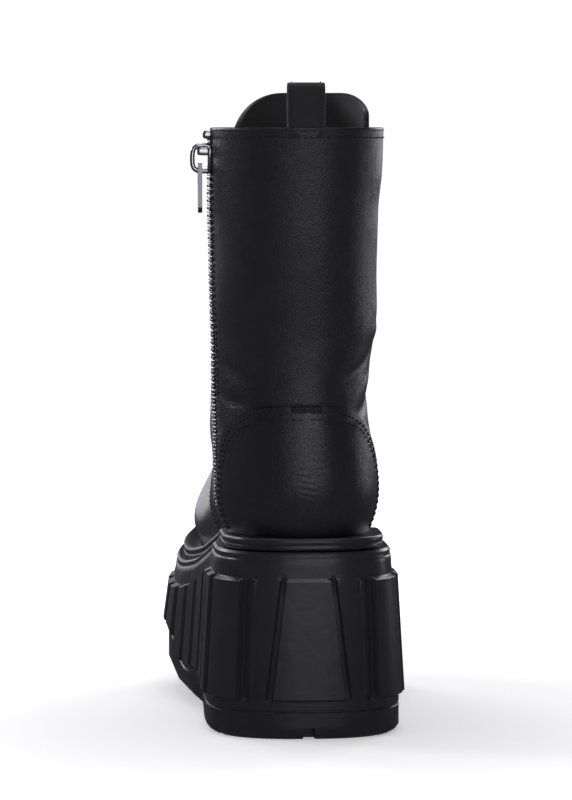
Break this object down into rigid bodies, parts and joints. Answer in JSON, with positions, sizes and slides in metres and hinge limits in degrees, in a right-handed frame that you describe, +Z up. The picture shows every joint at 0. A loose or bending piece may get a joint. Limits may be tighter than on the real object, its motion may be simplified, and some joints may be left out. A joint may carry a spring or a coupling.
{
  "type": "platform boot",
  "caption": "Black mid-calf lace-up boot for the right foot on a high moulded platform with side lugs, a side zip and a pull loop.",
  "frame": {"origin": "middle of the boot's footprint box, on the floor that the sole stands on", "axes": "+Z up the shaft, +Y from heel to toe, +X to the outer side of the right foot"},
  "size_m": [0.125, 0.2852, 0.33],
  "materials": {
    "leather": "semi-gloss, fine pebble grain",
    "lining": "matt textile",
    "sole": "satin moulded",
    "webbing": "woven",
    "zip_metal": "polished",
    "eyelet_metal": "blackened"
  },
  "bodies": {
    "boot": {"platform_sole": "sole", "midsole": "sole", "insole": "lining", "upper": "leather", "heel_counter": "leather", "tongue": "leather", "pull_loop": "webbing", "zip_chain": "zip_metal", "zip_slider": "zip_metal", "eyelet_lateral_1": "eyelet_metal", "eyelet_medial_1": "eyelet_metal", "eyelet_lateral_2": "eyelet_metal", "eyelet_medial_2": "eyelet_metal", "eyelet_lateral_3": "eyelet_metal", "eyelet_medial_3": "eyelet_metal", "eyelet_lateral_4": "eyelet_metal", "eyelet_medial_4": "eyelet_metal", "eyelet_lateral_5": "eyelet_metal", "eyelet_medial_5": "eyelet_metal", "eyelet_lateral_6": "eyelet_metal", "eyelet_medial_6": "eyelet_metal", "eyelet_lateral_7": "eyelet_metal", "eyelet_medial_7": "eyelet_metal", "lace_bar": "webbing", "lace_crossing_1": "webbing", "lace_crossing_2": "webbing", "lace_crossing_3": "webbing", "lace_crossing_4": "webbing", "lace_crossing_5": "webbing", "lace_crossing_6": "webbing"},
    "zip_pull": {"zip_pull": "zip_metal"}
  },
  "joints": [
    {"name": "zip_pull_swing", "type": "hinge", "parent": "boot", "child": "zip_pull", "pos_m": [-0.05, -0.0867, 0.288], "axis": [0, 1, 0], "range_deg": [0, 132]}
  ]
}
